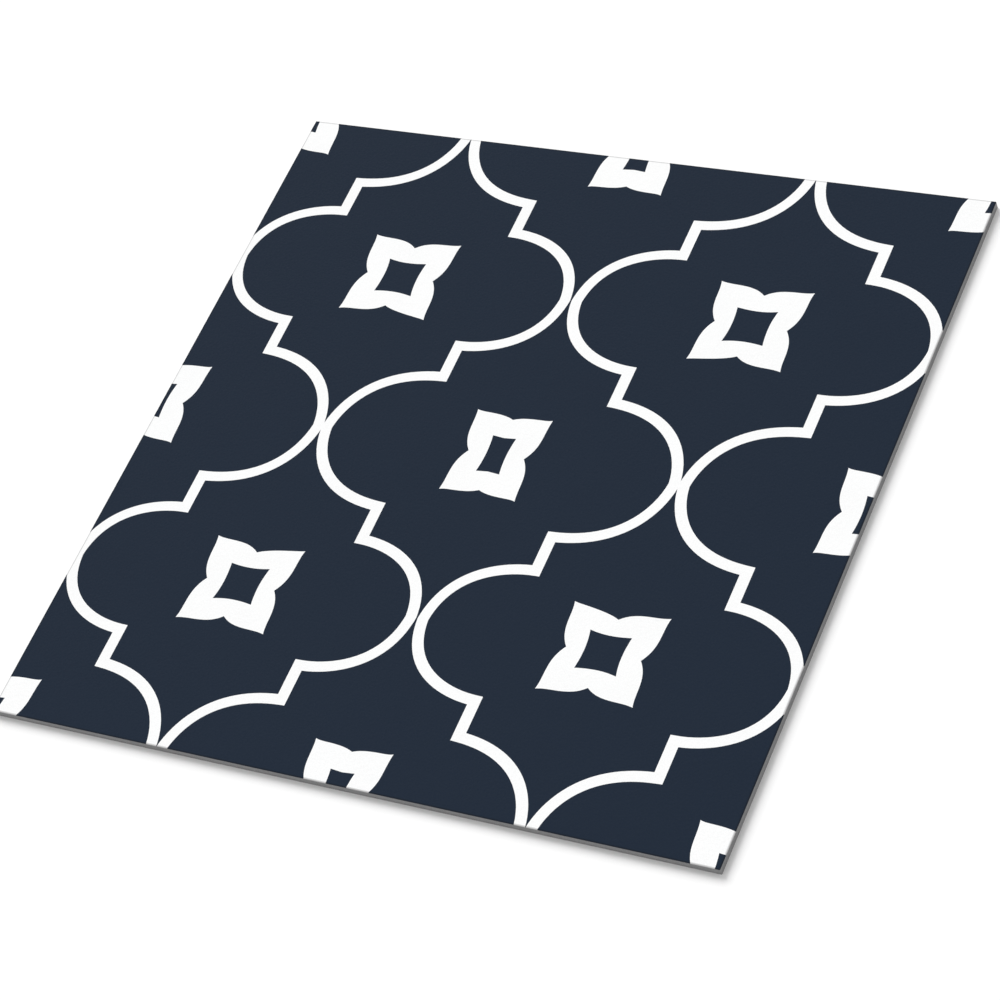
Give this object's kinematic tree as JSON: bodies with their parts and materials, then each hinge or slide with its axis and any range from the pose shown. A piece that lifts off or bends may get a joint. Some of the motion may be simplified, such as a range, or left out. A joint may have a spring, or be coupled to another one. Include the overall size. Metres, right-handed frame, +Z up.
{
  "type": "vinyl floor tile",
  "caption": "Square vinyl floor tile with a printed trellis pattern, white on navy, and eased edges, laid flat edge to edge with others.",
  "frame": {"origin": "centre of the back face, on the floor", "axes": "+Z up out of the printed wear face, +X along the tile's side that the trellis cells are widest along, +Y along the other side"},
  "size_m": [0.3048, 0.3048, 0.0032],
  "materials": {
    "printed_vinyl": "matte"
  },
  "bodies": {
    "root": {"vinyl_tile": "printed_vinyl"}
  },
  "joints": []
}
